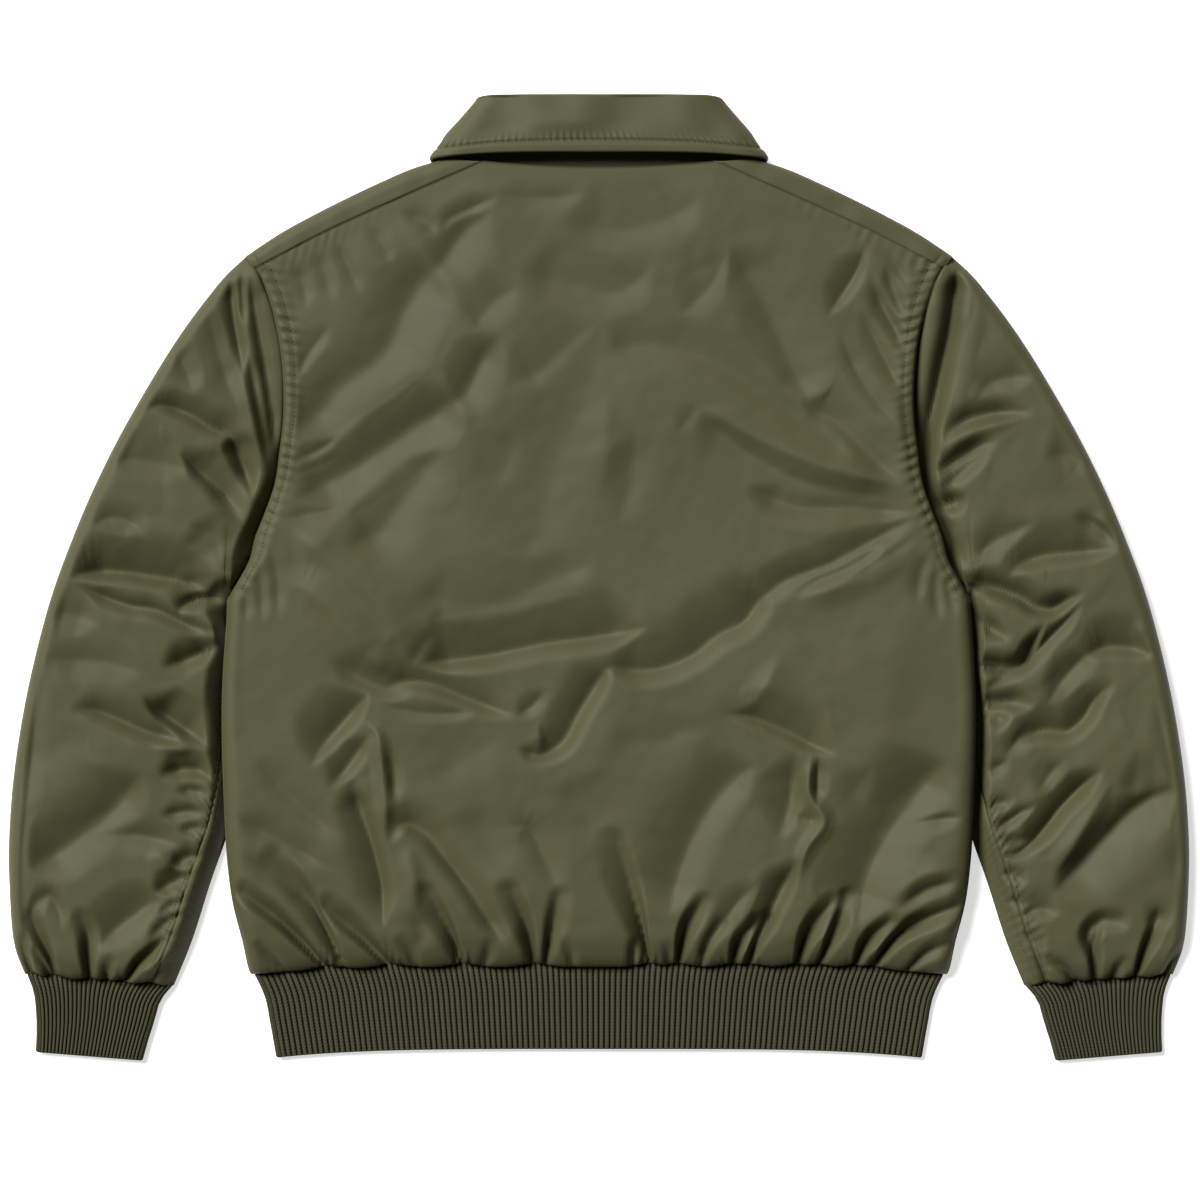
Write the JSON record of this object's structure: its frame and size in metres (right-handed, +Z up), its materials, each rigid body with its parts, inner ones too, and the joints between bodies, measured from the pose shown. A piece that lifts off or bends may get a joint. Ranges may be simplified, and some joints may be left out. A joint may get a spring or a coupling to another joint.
{
  "type": "bomber jacket",
  "caption": "Padded nylon bomber jacket with a shirt collar and rib-knit hem and cuffs, zipped up and laid flat on its front, back up.",
  "frame": {"origin": "centre of the bounding box's bottom face, on the surface that the jacket lies on", "axes": "+X from the wearer's left sleeve to the right one, +Y from the hem to the collar, +Z up out of the back"},
  "size_m": [0.9208, 0.7532, 0.0304],
  "materials": {
    "nylon": "smooth olive green nylon with a soft sheen",
    "rib_knit": "matt dark olive rib knit",
    "zip_tape": "matt woven tape",
    "zip_metal": "satin darkened metal"
  },
  "bodies": {
    "jacket": {"back": "nylon", "front_left": "nylon", "front_right": "nylon", "sleeve_left_upper": "nylon", "sleeve_left_under": "nylon", "sleeve_right_upper": "nylon", "sleeve_right_under": "nylon", "collar_leaf": "nylon", "collar_stand": "nylon", "hem_rib": "rib_knit", "cuff_left": "rib_knit", "cuff_right": "rib_knit", "zip_tape_left": "zip_tape", "zip_tape_right": "zip_tape", "zip_slider": "zip_metal"},
    "zip_pull": {"zip_pull": "zip_metal"}
  },
  "joints": [
    {"name": "pull_swing", "type": "hinge", "parent": "jacket", "child": "zip_pull", "pos_m": [0, 0.246, 0.0021], "axis": [1, 0, 0], "range_deg": [0, 180]}
  ]
}
